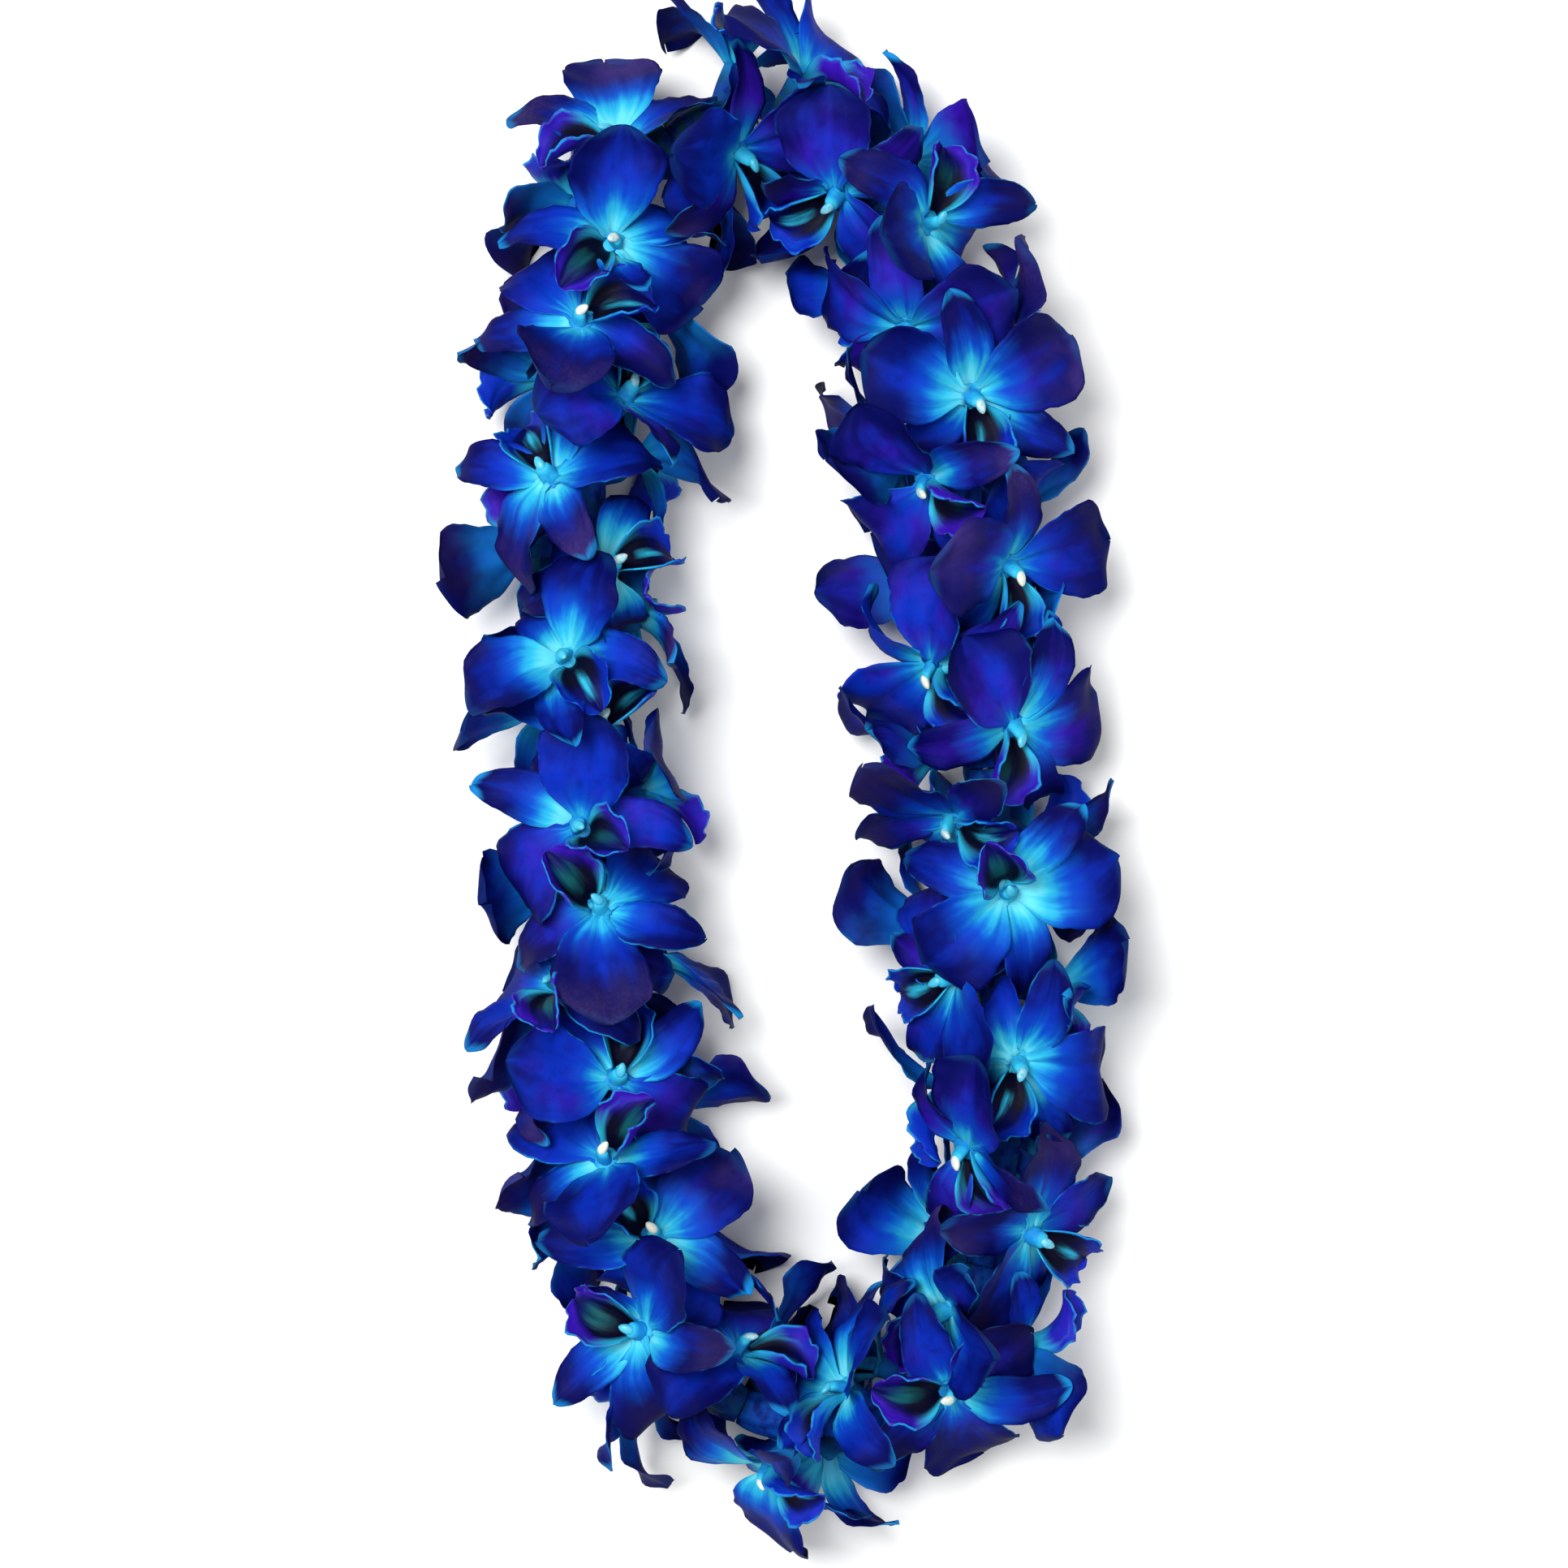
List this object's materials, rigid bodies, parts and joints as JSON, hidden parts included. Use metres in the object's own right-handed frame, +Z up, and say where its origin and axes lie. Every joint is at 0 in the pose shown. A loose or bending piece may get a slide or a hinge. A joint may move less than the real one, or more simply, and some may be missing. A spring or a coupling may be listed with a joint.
{
  "type": "fresh flower lei",
  "caption": "Closed oval garland of blue-dyed orchid blooms packed round a knotted cotton string, lying flat.",
  "frame": {"origin": "on the surface that the lei lies on, under the middle of its outline", "axes": "+Z up out of the surface, +Y along the long oval towards the end worn at the back of the neck, +X across"},
  "size_m": [0.214, 0.4834, 0.0732],
  "materials": {
    "petals": "satin",
    "string": "matte"
  },
  "bodies": {
    "root": {"bloom_pair_01": "petals", "bloom_pair_02": "petals", "bloom_pair_03": "petals", "bloom_pair_04": "petals", "bloom_pair_05": "petals", "bloom_pair_06": "petals", "bloom_pair_07": "petals", "bloom_pair_08": "petals", "bloom_pair_09": "petals", "bloom_pair_10": "petals", "bloom_pair_11": "petals", "bloom_pair_12": "petals", "bloom_pair_13": "petals", "bloom_pair_14": "petals", "bloom_pair_15": "petals", "bloom_pair_16": "petals", "bloom_pair_17": "petals", "bloom_pair_18": "petals", "bloom_pair_19": "petals", "bloom_pair_20": "petals", "bloom_pair_21": "petals", "bloom_pair_22": "petals", "bloom_pair_23": "petals", "bloom_pair_24": "petals", "bloom_pair_25": "petals", "bloom_pair_26": "petals", "bloom_pair_27": "petals", "bloom_pair_28": "petals", "bloom_pair_29": "petals", "bloom_pair_30": "petals", "bloom_pair_31": "petals", "bloom_pair_32": "petals", "bloom_pair_33": "petals", "bloom_pair_34": "petals", "bloom_pair_35": "petals", "bloom_pair_36": "petals", "string": "string"}
  },
  "joints": []
}
